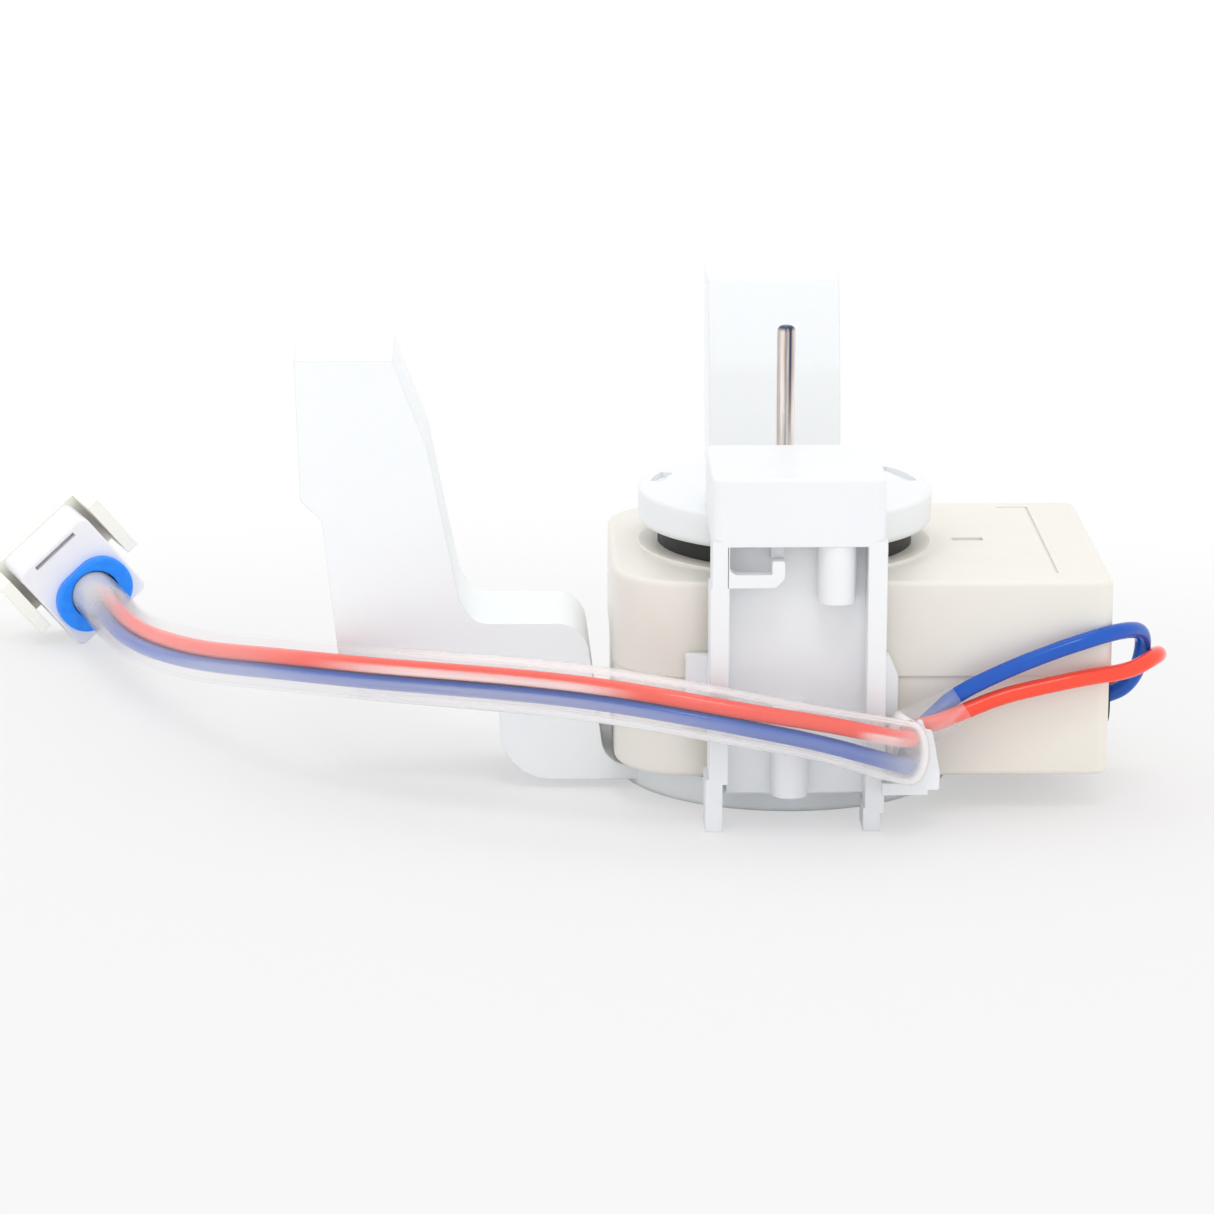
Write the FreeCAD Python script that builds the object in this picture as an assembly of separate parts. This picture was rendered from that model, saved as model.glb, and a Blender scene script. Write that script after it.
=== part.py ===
import FreeCAD
import Part
import math
import os

os.makedirs("parts", exist_ok=True)

# Evaporator fan motor on its snap-together plastic bracket, all sizes in millimetres.
# The origin is on the shaft axis at the underside of the lower cup, +Z along the shaft towards the fan.
# X runs across the motor towards its coil end, and Y away from the side that carries the mast.

V = FreeCAD.Vector
UP = V(0, 0, 1)

# Driving sizes: shaft and rotor
shaft_radius = 1.5875
shaft_tip_z = 78.6
shaft_dome = 1.0
journal_clearance = 0.03
groove_z = 51.3
groove_width = 0.7
groove_depth = 0.25
rotor_radius = 10.5
rotor_half_stack = 6.5
end_ring_height = 2.0
end_ring_width = 3.2
air_gap = 0.5
thrust_washer_radius = 3.6
rotor_end_play = 0.5

# Driving sizes: motor housing
housing_left = 30.2
housing_right = 53.9
housing_half_depth = 30.0
housing_height = 34.0
housing_wall = 2.0
housing_round_left = 13.5
housing_round_right = 2.5
housing_edge_round = 1.0
lower_shell_height = 17.5
shell_step = 0.3
lip_height = 1.5
lip_width = 0.9
plinth_radius = 25.6
plinth_height = 0.5
recess_left = 29.3
recess_length = 5.3
recess_front = 0.2
recess_width = 2.0
recess_depth = 0.9
line_inset = 8.9
line_front = 5.9
line_back = 4.1
line_return = 5.4
line_width = 0.35
line_depth = 0.2
hub_radius = 11.0
hub_rise = 5.5
bearing_tube_wall = 2.2
post_radius = 2.6
slip_gap = 0.15

# Driving sizes: bearings
bearing_radius = 3.9
bearing_length = 6.0
bearing_reach = 11.3
retainer_thickness = 0.6
wick_thickness = 2.0
wick_bore = 2.0

# Driving sizes: stator and coil
core_left = 22.0
coil_end_space = 14.9
core_half_width = 22.0
core_limb = 8.0
core_leg = 10.0
window_left = 14.0
core_corner = 8.0
bobbin_wall = 1.0
bobbin_half_length = 13.0
bobbin_flange = 7.0
winding_depth = 6.2
shade_bar = 1.6
shade_overhang = 1.4

# Driving sizes: rubber isolators and the two cups
isolator_gap = 0.2
cup_gap = 0.3
upper_isolator_radius = 22.0
lower_isolator_radius = 26.0
lower_cup_radius = 29.0
lower_cup_height = 5.2
lower_cup_floor = 1.6
housing_lift = 6.5
upper_cup_radius = 25.4
upper_cup_gap = 3.85
upper_cup_height = 6.25
upper_cup_roof = 2.0
rim_slot_radius = 22.2
rim_slot_width = 2.2
rim_slot_depth = 0.9
rim_slot_sweep = 30.0
rim_slot_right_angle = 22.0
rim_slot_left_angle = 163.0
collar_radius = 6.5
collar_height = 1.6
collar_bore = 3.6

# Driving sizes: mast of the upper bracket
mast_half_width = 14.7
flange_thickness = 3.2
flange_head_inset = 0.3
mast_front = 40.4
web_front = 34.8
web_thickness = 2.0
web_bottom = 5.2
cap_bottom = 49.0
cap_top = 60.5
cap_back = 13.0
cap_wall = 2.0
cap_corner = 2.0
foot_shift = 0.6
foot_width = 2.9
left_foot_height = 8.2
right_foot_height = 3.1
boss_radius = 3.1
boss_x = 6.5
boss_bottom = 38.9
post_x = -1.0
post_bottom = 5.6
post_top = 21.0
boss_proud = 2.2
boss_pilot = 1.2
boss_pilot_depth = 10.0
boss_draft = 0.35

# Driving sizes: wire hook on the mast
hook_bottom = 42.0
hook_bar = 2.3
hook_end = -2.3
hook_rise = 2.3
hook_depth = 3.0

# Driving sizes: sleeve clip on the mast
clip_reach = 23.8
clip_bottom = 6.8
clip_bar = 2.1
clip_front = 42.3
clip_thickness = 2.0
finger_left = 19.9
finger_top = 19.4

# Driving sizes: base bracket with its upstand and two arms
upstand_left = 18.4
upstand_right = 17.4
upstand_top = 28.6
upstand_bottom = 4.4
upstand_wing_z = 16.5
upstand_thickness = 2.0
upstand_chamfer = 1.6
upstand_chamfer_height = 3.6
tie_half_width = 12.0
arm_front = 13.5
arm_width = 24.0
arm_skin = 2.0
arm_start = 24.0
arm_bottom = 1.6
arm_reach = 49.5
arm_corner = 9.0
arm_top = 29.3
arm_crest = 34.8
arm_crest_round = 5.5
arm_foot = 31.5
arm_foot_z = 4.9
arm_foot_round = 4.6
arm_lap = 26.0
arm_lap_z = 3.9
shelf_z = 16.5
shelf_round = 4.0
knee_setback = 7.8
knee_round = 7.0
neck_setback = 4.4
neck_z = 47.6
step_z = 51.0
step_setback = 0.8
step_round = 1.5
leg_top = 75.2
leg_reach = 84.1
leg_end_width = 16.6
leg_cap = 2.4
leg_bend_z = 60.0
leg_bend_setback = 22.4
leg_bend_round = 12.0
waist_z = 34.0
waist_setback = 27.6
waist_round = 6.0
arm_root_setback = 30.1
arm_root_round = 4.5
back_leg_pull_in = 6.1

# Driving sizes: leads, sleeve and grommet
lead_radius = 1.4
lead_spread = 1.65
slot_spread = 2.1
twist_spread = 2.3
sleeve_radius = 4.7
sleeve_wall = 0.51
grommet_rise = 0.8
grommet_half_height = 2.9
grommet_gap = 0.05
grommet_flare = 0.3
lead_exit_z = 17.2
grommet_lip = 0.9
grommet_inner_lip = 0.5
grommet_inner_rise = 1.2
red_exit_y = -15.4
blue_exit_y = -19.6
lead_start = 3.2
splice_length = 7.0
splice_radius = 1.9

# Driving sizes: plug connector on the far end
plug_heading = 18.7
plug_roll = 40.0
plug_half_length = 8.6
plug_low = 6.6
plug_high = 12.6
plug_depth = 13.0
plug_corner = 1.6
seal_half_length = 7.8
seal_half_width = 5.9
seal_step = 0.9
seal_proud = 2.2
seal_depth = 5.0
seal_gap = 0.05
sleeve_in_plug = 4.0
notch_place = 11.3
notch_width = 0.8
notch_length = 9.8
notch_depth = 2.0
wing_gap = 1.5
wing_thickness = 2.4
wing_low = 0.9
wing_high = 12.8
wing_reach = 12.4
back_plate = 2.0
contact_radius = 1.0

# Heights worked out from the driving sizes
housing_bottom_z = housing_lift
housing_top_z = housing_bottom_z + housing_height
parting_z = housing_bottom_z + lower_shell_height
mid_z = housing_bottom_z + housing_height / 2
roof_z = housing_top_z - housing_wall
floor_z = housing_bottom_z + housing_wall
upper_cup_z = housing_top_z + upper_cup_gap
upper_cup_top = upper_cup_z + upper_cup_height
upper_cup_bore = upper_isolator_radius + cup_gap
lower_cup_bore = lower_isolator_radius + cup_gap
wick_reach = bearing_reach + bearing_length
pocket_reach = wick_reach + wick_thickness
rotor_reach = rotor_half_stack + end_ring_height
tube_reach = bearing_reach - retainer_thickness
upstand_front = web_front - web_thickness
core_right = housing_right - coil_end_space
coil_centre = core_right - core_leg / 2


def prism(points, z0, z1):
    """A straight prism over a closed outline of (x, y) points."""
    wire = Part.makePolygon([V(x, y, z0) for x, y in points] + [V(points[0][0], points[0][1], z0)])
    return Part.Face(wire).extrude(V(0, 0, z1 - z0))


def block(x0, x1, y0, y1, z0, z1):
    """A box between two corners."""
    return Part.makeBox(x1 - x0, y1 - y0, z1 - z0, V(x0, y0, z0))


def disc(radius, z0, z1, x=0.0, y=0.0):
    """An upright cylinder."""
    return Part.makeCylinder(radius, z1 - z0, V(x, y, z0))


def ring(outer, inner, z0, z1, x=0.0, y=0.0):
    """An upright ring of square section."""
    return disc(outer, z0, z1, x, y).cut(disc(inner, z0, z1, x, y))


def rounded_outline(points, z=0.0):
    """A closed wire of straight runs and tangent arcs. Each point is (x, y, radius)."""
    corners = []
    count = len(points)
    for i, (x, y, radius) in enumerate(points):
        here = V(x, y, z)
        before = V(points[i - 1][0], points[i - 1][1], z)
        after = V(points[(i + 1) % count][0], points[(i + 1) % count][1], z)
        corners.append(corner_arc(before, here, after, radius))
    edges = []
    for i, (start, middle, end) in enumerate(corners):
        if middle is not None:
            edges.append(Part.Arc(start, middle, end).toShape())
        following = corners[(i + 1) % count][0]
        if (following - end).Length > 1e-6:
            edges.append(Part.LineSegment(end, following).toShape())
    return Part.Wire(edges)


def corner_arc(before, here, after, radius):
    """Start, middle and end of the arc of a given radius that rounds the corner at here."""
    if radius <= 0:
        return here, None, here
    into = (here - before).normalize()
    out = (after - here).normalize()
    turn = into.getAngle(out)
    setback = radius * math.tan(turn / 2)
    start = here - into * setback
    end = here + out * setback
    inward = (out - into).normalize()
    centre = here + inward * (radius / math.cos(turn / 2))
    middle = centre - inward * radius
    return start, middle, end


def plate(points, z0, z1):
    """A prism over a rounded outline."""
    return Part.Face(rounded_outline(points, z0)).extrude(V(0, 0, z1 - z0))


def housing_plan(inset, z0, z1):
    """The housing's plan, drawn in from the outside by inset: a tight right end and a full left end."""
    x0 = -housing_left + inset
    x1 = housing_right - inset
    y = housing_half_depth - inset
    left = max(housing_round_left - inset, 0.3)
    right = max(housing_round_right - inset, 0.3)
    outline = [(x0, -y, left), (x1, -y, right), (x1, y, right), (x0, y, left)]
    return plate(outline, z0, z1)


def edges_at_height(shape, z, keep=None):
    """The edges that lie wholly at one height, thinned by an optional test on their box."""
    found = []
    for edge in shape.Edges:
        box = edge.BoundBox
        if abs(box.ZMin - z) < 1e-4 and abs(box.ZMax - z) < 1e-4:
            if keep is None or keep(box):
                found.append(edge)
    return found


def mid_pair(make):
    """The same feature made below and above the middle of the motor."""
    return [make(-1), make(1)]


def band(radius, bore, near, far, side, x=0.0, y=0.0):
    """A ring between two distances from the motor's middle, below it or above it."""
    a = mid_z + side * near
    b = mid_z + side * far
    return ring(radius, bore, min(a, b), max(a, b), x, y)


def housing_posts(side):
    """Posts that hold the core between floor and roof."""
    inner = mid_z + side * rotor_half_stack
    outer = floor_z if side < 0 else roof_z
    places = [(-core_left + 5.0, core_half_width - 6.0), (coil_centre, core_half_width - core_limb / 2)]
    posts = []
    for x, y in places:
        for sign in (-1, 1):
            posts.append(disc(post_radius, min(inner, outer), max(inner, outer), x, sign * y))
    return posts


def bearing_tube(side, hub_end):
    """The hub outside one end of the housing and the tube inside it, before the bearing pocket is cut."""
    inner = mid_z + side * tube_reach
    wall = housing_bottom_z if side < 0 else housing_top_z
    tube = disc(bearing_radius + journal_clearance * 2 + bearing_tube_wall, min(inner, wall), max(inner, wall))
    hub = disc(hub_radius, min(wall, hub_end), max(wall, hub_end))
    return tube.fuse(hub)


def bearing_pocket(side):
    """The bore that takes retainer, bearing and wick."""
    a = mid_z + side * (tube_reach - 0.5)
    b = mid_z + side * pocket_reach
    return disc(bearing_radius + journal_clearance * 2, min(a, b), max(a, b))


def grommet_outline(extra, x0, x1):
    """The oblong hole for the leads, widened by extra, as a bar along X."""
    half = grommet_half_height + extra
    mid_y = (blue_exit_y + red_exit_y) / 2
    reach = (red_exit_y - blue_exit_y) / 2 + 0.4
    bar = block(x0, x1, mid_y - reach, mid_y + reach, lead_exit_z - half, lead_exit_z + half)
    for y in (mid_y - reach, mid_y + reach):
        bar = bar.fuse(Part.makeCylinder(half, x1 - x0, V(x0, y, lead_exit_z), V(1, 0, 0)))
    return bar.removeSplitter()


def housing_lower():
    """Lower half of the motor housing, set in a little, with the lip that centres the upper half."""
    body = housing_plan(shell_step, housing_bottom_z, parting_z)
    body = body.makeFillet(housing_edge_round, edges_at_height(body, housing_bottom_z))
    body = body.cut(housing_plan(housing_wall, floor_z, parting_z))
    lip = housing_plan(housing_wall + slip_gap, parting_z - 3.0, parting_z + lip_height)
    lip = lip.cut(housing_plan(housing_wall + slip_gap + lip_width, parting_z - 3.0, parting_z + lip_height))
    foot = housing_plan(housing_wall - 0.2, parting_z - 3.0, parting_z - 1.0)
    foot = foot.cut(housing_plan(housing_wall + slip_gap + lip_width, parting_z - 3.0, parting_z - 1.0))
    body = body.fuse([lip, foot, bearing_tube(-1, mid_z - pocket_reach - 2.0)] + housing_posts(-1))
    body = body.cut(bearing_pocket(-1))
    body = body.cut(grommet_outline(0.1, housing_right - housing_wall - 2.0, housing_right + 1.0))
    return body.removeSplitter()


def housing_upper():
    """Upper half of the motor housing with its round plinth, hub and terminal pockets."""
    body = housing_plan(0.0, parting_z, housing_top_z)
    body = body.makeFillet(housing_edge_round, edges_at_height(body, housing_top_z))
    body = body.cut(housing_plan(housing_wall, parting_z, roof_z))
    plinth = disc(plinth_radius, housing_top_z - 0.5, housing_top_z + plinth_height)
    rim = edges_at_height(plinth, housing_top_z + plinth_height)
    plinth = plinth.makeFillet(plinth_height * 0.6, rim)
    body = body.fuse([plinth, bearing_tube(1, housing_top_z + hub_rise)] + housing_posts(1))
    body = body.cut(bearing_pocket(1))
    body = body.cut(disc(shaft_radius + 0.5, mid_z, housing_top_z + hub_rise + 1.0))
    top = housing_top_z
    body = body.cut(block(recess_left, recess_left + recess_length, recess_front, recess_front + recess_width,
                          top - recess_depth, top))
    x1 = housing_right - line_inset
    y0 = -housing_half_depth + line_front
    y1 = housing_half_depth - line_back
    body = body.cut(block(x1 - line_width, x1, y0, y1, top - line_depth, top))
    body = body.cut(block(x1 - line_return, x1, y1 - line_width, y1, top - line_depth, top))
    return body.removeSplitter()


def shaft():
    """Ground steel shaft with a domed free end and a shallow ring groove above the bracket."""
    bottom = mid_z - pocket_reach + 0.3
    body = disc(shaft_radius, bottom, shaft_tip_z)
    body = body.makeFillet(shaft_dome, edges_at_height(body, shaft_tip_z))
    body = body.makeChamfer(0.3, edges_at_height(body, bottom))
    groove = ring(shaft_radius + 1.0, shaft_radius - groove_depth, groove_z, groove_z + groove_width)
    return body.cut(groove)


def rotor_core():
    """Stack of round steel laminations pressed on the shaft."""
    fit = shaft_radius + 0.02
    return ring(rotor_radius, fit, mid_z - rotor_half_stack, mid_z + rotor_half_stack)


def rotor_end_rings():
    """The two cast aluminium rings of the squirrel cage, one on each face of the stack."""
    return Part.makeCompound(mid_pair(lambda side: band(
        rotor_radius - 0.4, rotor_radius - 0.4 - end_ring_width, rotor_half_stack, rotor_reach, side)))


def thrust_washers():
    """Nylon washers between the cage and the bearings, with end play left for the rotor."""
    reach = tube_reach - rotor_end_play
    return Part.makeCompound(mid_pair(lambda side: band(
        thrust_washer_radius, shaft_radius + 0.02, rotor_half_stack, reach, side)))


def bearing(side):
    """Sintered bronze sleeve with a barrel-shaped outside."""
    bore = shaft_radius + journal_clearance
    sleeve = band(bearing_radius, bore, bearing_reach, wick_reach, side)
    middle = mid_z + side * (bearing_reach + bearing_length / 2)
    ball = Part.makeSphere(math.hypot(bearing_radius - 0.7, bearing_length / 2) + 0.1, V(0, 0, middle))
    return sleeve.common(ball)


def bearing_retainers():
    """Spring steel rings pressed in behind the bearings."""
    return Part.makeCompound(mid_pair(lambda side: band(
        bearing_radius, shaft_radius + 0.8, tube_reach, bearing_reach, side)))


def oil_wicks():
    """Felt rings soaked with oil, one at the outer end of each bearing."""
    return Part.makeCompound(mid_pair(lambda side: band(
        bearing_radius - 0.1, wick_bore, wick_reach, pocket_reach, side)))


def shade_slots():
    """Centres of the slots in each pole that take the copper shading rings."""
    near = rotor_radius + air_gap + shade_bar / 2 + 0.9
    places = []
    for sign in (-1, 1):
        for angle in (62, 104):
            a = math.radians(angle)
            places.append((-near * math.cos(a) * 1.0, sign * near * math.sin(a)))
    return places


def stator_core():
    """Laminated frame: a bored block for the rotor, two limbs, and the leg that carries the coil."""
    z0 = mid_z - rotor_half_stack
    z1 = mid_z + rotor_half_stack
    w = core_half_width
    outline = [(-core_left, -w, core_corner), (core_right, -w, 1.0), (core_right, w, 1.0), (-core_left, w, core_corner)]
    body = plate(outline, z0, z1)
    window = core_half_width - core_limb
    body = body.cut(block(window_left, core_right - core_leg, -window, window, z0, z1))
    body = body.cut(disc(rotor_radius + air_gap, z0, z1))
    hole = shade_bar / 2 + 0.1
    for x, y in shade_slots():
        body = body.cut(block(x - hole, x + hole, y - hole, y + hole, z0, z1))
    return body.removeSplitter()


def shading_rings():
    """Closed copper loops through each pole's slots, bent over both faces of the stack."""
    z0 = mid_z - rotor_half_stack - shade_overhang
    z1 = mid_z + rotor_half_stack + shade_overhang
    half = shade_bar / 2
    slots = shade_slots()
    loops = []
    for first, second in ((0, 1), (2, 3)):
        ax, ay = slots[first]
        bx, by = slots[second]
        loop = block(ax - half, ax + half, ay - half, ay + half, z0, z1)
        loop = loop.fuse(block(bx - half, bx + half, by - half, by + half, z0, z1))
        span = V(bx - ax, by - ay, 0)
        side = V(-span.y, span.x, 0).normalize() * half
        corners = [V(ax, ay, 0) + side, V(bx, by, 0) + side, V(bx, by, 0) - side, V(ax, ay, 0) - side]
        flat = [(c.x, c.y) for c in corners]
        overhang = shade_overhang - slip_gap
        loop = loop.fuse([prism(flat, z0, z0 + overhang), prism(flat, z1 - overhang, z1)])
        loops.append(loop.removeSplitter())
    return Part.makeCompound(loops)


def around_leg(grow, half_length):
    """A box around the coil leg, grown by grow on all four long sides."""
    x0 = core_right - core_leg - grow
    x1 = core_right + grow
    z0 = mid_z - rotor_half_stack - grow
    z1 = mid_z + rotor_half_stack + grow
    return block(x0, x1, -half_length, half_length, z0, z1)


def long_edges(shape, length):
    """The edges along Y of a given length."""
    return [e for e in shape.Edges if abs(e.BoundBox.YLength - length) < 1e-3 and abs(e.Length - length) < 1e-3]


def coil_bobbin():
    """Nylon spool on the coil leg, a thin square tube between two flanges."""
    bore = around_leg(slip_gap, bobbin_half_length + 1.0)
    tube = around_leg(slip_gap + bobbin_wall, bobbin_half_length)
    body = tube
    for side in (-1, 1):
        flange = around_leg(bobbin_flange, bobbin_half_length)
        rounded = flange.makeFillet(2.0, long_edges(flange, 2 * bobbin_half_length))
        y = side * bobbin_half_length
        inner = side * (bobbin_half_length - bobbin_wall)
        slab = block(0, 80, min(y, inner), max(y, inner), 0, 80)
        body = body.fuse(rounded.common(slab))
    return body.cut(bore).removeSplitter()


def coil_winding():
    """The varnished copper winding, one solid with rounded corners."""
    half = bobbin_half_length - bobbin_wall - 0.1
    outer = around_leg(winding_depth, half)
    outer = outer.makeFillet(3.0, long_edges(outer, 2 * half))
    return outer.cut(around_leg(slip_gap + bobbin_wall + 0.05, half))


def thermal_fuse():
    """Flat fuse pack taped on top of the winding."""
    z = mid_z + rotor_half_stack + winding_depth
    body = block(coil_centre - 5.0, coil_centre + 5.0, -3.0, 3.0, z, z + 1.6)
    return body.makeFillet(0.5, edges_at_height(body, z + 1.6))


def isolator(radius, z0, z1):
    """Rubber ring between the motor's hub and a cup, with a groove in its lower face."""
    body = ring(radius, hub_radius + isolator_gap, z0, z1)
    middle = (radius + hub_radius) / 2
    groove = ring(middle + 1.5, middle - 1.5, z0, z0 + 1.0)
    return body.cut(groove)


def arm_outline(pull_in):
    """Side outline of an arm and its leg as (distance from the axis, height, corner radius)."""
    leg = leg_reach - pull_in
    return [
        (arm_start, arm_bottom, 0.0),
        (arm_reach, arm_bottom, arm_corner),
        (arm_reach, shelf_z, shelf_round),
        (leg - knee_setback, shelf_z, knee_round),
        (leg - neck_setback, neck_z, step_round),
        (leg - step_setback, step_z, step_round),
        (leg, leg_top, 0.0),
        (leg - leg_end_width, leg_top, 0.0),
        (leg - leg_bend_setback, leg_bend_z, leg_bend_round),
        (leg - waist_setback, waist_z, waist_round),
        (leg - arm_root_setback, arm_top, arm_root_round),
        (arm_crest, arm_top, arm_crest_round),
        (arm_foot, arm_foot_z, arm_foot_round),
        (arm_lap, arm_lap_z, 0.0),
        (arm_start, arm_lap_z, 0.0),
    ]


def arm_side(pull_in, shift_out, shift_up, inset):
    """The arm's outline pushed out and up a little and given a width, lying along -X."""
    points = [(-d + shift_out, h + shift_up, r) for d, h, r in arm_outline(pull_in)]
    face = Part.Face(rounded_outline(points))
    solid = face.extrude(V(0, 0, arm_width - 2 * inset))
    solid.rotate(V(0, 0, 0), V(1, 0, 0), 90)
    solid.translate(V(0, arm_width - arm_front - inset, 0))
    return solid


def arm(pull_in):
    """One arm and leg: two side walls joined by a skin on top and towards the motor, open underneath and outside."""
    body = arm_side(pull_in, 0.0, 0.0, 0.0)
    inside = arm_side(pull_in, -arm_skin, -arm_skin, arm_skin)
    below_cap = block(-leg_reach, 0, -arm_width, arm_width, 0, leg_top - leg_cap)
    return body.cut(inside.common(below_cap))


def base_bracket():
    """White moulding under the motor: lower cup, upstand behind the mast, left arm and back arm."""
    cup = disc(lower_cup_radius, 0.0, lower_cup_height)
    cup = cup.makeFillet(1.0, edges_at_height(cup, 0.0))
    cup = cup.cut(disc(lower_cup_bore, lower_cup_floor, lower_cup_height))
    left = arm(0.0)
    back = arm(back_leg_pull_in).mirror(V(0, 0, 0), V(1, 1, 0))
    y0 = -upstand_front
    y1 = y0 + upstand_thickness
    outline = [
        (-upstand_left, upstand_wing_z, 0.5),
        (-tie_half_width, upstand_wing_z, 0.5),
        (-tie_half_width, upstand_bottom, 0.0),
        (tie_half_width, upstand_bottom, 0.0),
        (tie_half_width, upstand_wing_z, 0.5),
        (upstand_right, upstand_wing_z, 0.5),
        (upstand_right, upstand_top - upstand_chamfer_height, 2.0),
        (upstand_right - upstand_chamfer, upstand_top, 0.5),
        (-upstand_left, upstand_top, 0.5),
    ]
    upstand = Part.Face(rounded_outline(outline)).extrude(V(0, 0, upstand_thickness))
    upstand.rotate(V(0, 0, 0), V(1, 0, 0), 90)
    upstand.translate(V(0, y1, 0))
    x = tie_half_width
    tie = block(-x, x, y1 - upstand_thickness / 2, -lower_cup_bore - cup_gap, upstand_bottom, lower_cup_height)
    bore = disc(lower_cup_bore, lower_cup_floor, lower_cup_height + 0.01)
    arms = left.fuse(back).cut(bore)
    return cup.fuse([arms, upstand, tie]).removeSplitter()


def upper_cup():
    """Round cup over the upper isolator, with a collar round the shaft and two shallow recesses."""
    cup = disc(upper_cup_radius, upper_cup_z, upper_cup_top)
    cup = cup.makeFillet(1.4, edges_at_height(cup, upper_cup_z))
    cup = cup.makeFillet(0.8, edges_at_height(cup, upper_cup_top))
    cup = cup.fuse(disc(collar_radius, upper_cup_top - 1.0, upper_cup_top + collar_height))
    cup = cup.cut(disc(upper_cup_bore, upper_cup_z, upper_cup_top - upper_cup_roof))
    cup = cup.cut(disc(collar_bore, upper_cup_z, upper_cup_top + collar_height))
    for angle, sweep in ((rim_slot_right_angle, rim_slot_sweep), (rim_slot_left_angle, rim_slot_sweep * 0.6)):
        cup = cup.cut(rim_slot(angle, sweep))
    return cup


def rim_slot(angle, sweep):
    """A shallow slot in the cup's roof that follows its rim, centred at an angle from +X."""
    outer = rim_slot_radius + rim_slot_width / 2
    inner = rim_slot_radius - rim_slot_width / 2
    z = upper_cup_top - rim_slot_depth
    sector = Part.makeCylinder(outer, rim_slot_depth * 2, V(0, 0, z), UP, sweep)
    sector = sector.cut(Part.makeCylinder(inner, rim_slot_depth * 2, V(0, 0, z)))
    sector.rotate(V(0, 0, 0), UP, angle - sweep / 2)
    return sector


def mast_cap():
    """Box at the head of the mast, open below, with rounded upright edges."""
    r = cap_corner
    w = mast_half_width - 0.3
    outline = [(-w, -mast_front, r), (w, -mast_front, r), (w, -cap_back, r), (-w, -cap_back, r)]
    body = plate(outline, cap_bottom, cap_top)
    body = body.makeFillet(0.6, edges_at_height(body, cap_top))
    inner = w - cap_wall
    body = body.cut(block(-inner, inner, -mast_front + cap_wall, -cap_back - cap_wall, cap_bottom, cap_top - cap_wall))
    return body.cut(disc(upper_cup_radius - 1.0, cap_bottom, upper_cup_top - 0.5))


def mast():
    """Upright channel: web, two flanges, stepped feet and the two round bosses."""
    y0 = -mast_front
    y1 = -upstand_front
    inner = mast_half_width - flange_thickness
    pieces = [block(-inner - 0.1, inner + 0.1, -web_front, y1, web_bottom, cap_top - cap_wall)]
    pieces.append(block(-mast_half_width, -inner, y0, y1, left_foot_height, hook_bottom))
    pieces.append(block(
        -mast_half_width + flange_head_inset, -inner - flange_head_inset, y0, y1, hook_bottom, cap_bottom + cap_wall / 2))
    pieces.append(block(inner, mast_half_width, y0, y1, right_foot_height, cap_bottom + cap_wall / 2))
    left_edge = -mast_half_width - foot_shift
    pieces.append(block(left_edge, left_edge + foot_width, y0, y1, 0.0, left_foot_height + 1.0))
    right_edge = mast_half_width - foot_shift
    pieces.append(block(right_edge - foot_width, right_edge, y0, y1, 0.0, right_foot_height + 1.0))
    boss_y = -web_front - boss_proud
    boss_height = cap_top - cap_wall - boss_bottom
    wide = boss_radius + boss_draft
    pieces.append(Part.makeCone(boss_radius, wide, boss_height, V(boss_x, boss_y, boss_bottom)))
    pieces.append(disc(boss_radius, post_bottom, post_top, post_x, boss_y))
    body = pieces[0].fuse(pieces[1:])
    return body.cut(disc(boss_pilot, boss_bottom, boss_bottom + boss_pilot_depth, boss_x, boss_y))


def wire_hook():
    """Flat hook across the channel that keeps loose leads in."""
    x0 = -mast_half_width + flange_thickness - 0.2
    rise = hook_bottom + hook_bar
    outline = [
        (x0, hook_bottom, 0.0),
        (hook_end - 1.6, hook_bottom, 0.6),
        (hook_end, hook_bottom + 1.6, 0.6),
        (hook_end, rise + hook_rise, 0.4),
        (hook_end - 2.2, rise + hook_rise, 0.4),
        (hook_end - 2.2, rise, 0.3),
        (x0 + 0.2, rise, 1.4),
        (x0 + 0.2, cap_bottom + 0.5, 0.0),
        (x0, cap_bottom + 0.5, 0.0),
    ]
    face = Part.Face(rounded_outline(outline))
    body = face.extrude(V(0, 0, hook_depth))
    body.rotate(V(0, 0, 0), V(1, 0, 0), 90)
    body.translate(V(0, -mast_front + hook_depth, 0))
    tooth = block(hook_end - 2.2, hook_end, -web_front - 1.8, -web_front + 0.2, rise + 1.8, cap_bottom + 1.0)
    return body.fuse(tooth)


def sleeve_clip():
    """Bar and finger beside the right flange: the sleeve is threaded back behind the finger."""
    y0 = -clip_front
    top = clip_bottom + clip_bar
    bar = block(mast_half_width - 0.5, clip_reach - 2.0, y0, y0 + 2 * clip_thickness, clip_bottom, top)
    outline = [
        (finger_left, top - 0.5, 0.0),
        (clip_reach - 2.4, top - 0.5, 0.0),
        (clip_reach - 2.2, top - 1.2, 0.0),
        (clip_reach - 0.1, top - 1.2, 0.4),
        (clip_reach, top + 1.6, 1.0),
        (clip_reach - 1.3, finger_top - 1.8, 0.5),
        (clip_reach - 2.4, finger_top - 1.6, 0.3),
        (clip_reach - 3.0, finger_top, 0.4),
        (finger_left, finger_top, 0.4),
    ]
    face = Part.Face(rounded_outline(outline))
    finger = face.extrude(V(0, 0, clip_thickness))
    finger.rotate(V(0, 0, 0), V(1, 0, 0), 90)
    finger.translate(V(0, y0 + clip_thickness, 0))
    return bar.fuse(finger)


def upper_bracket():
    """White moulding that carries the upper cup: cup, box head, mast, wire hook and sleeve clip."""
    body = upper_cup().fuse([mast_cap(), mast(), wire_hook(), sleeve_clip()])
    return body.removeSplitter()


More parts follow.
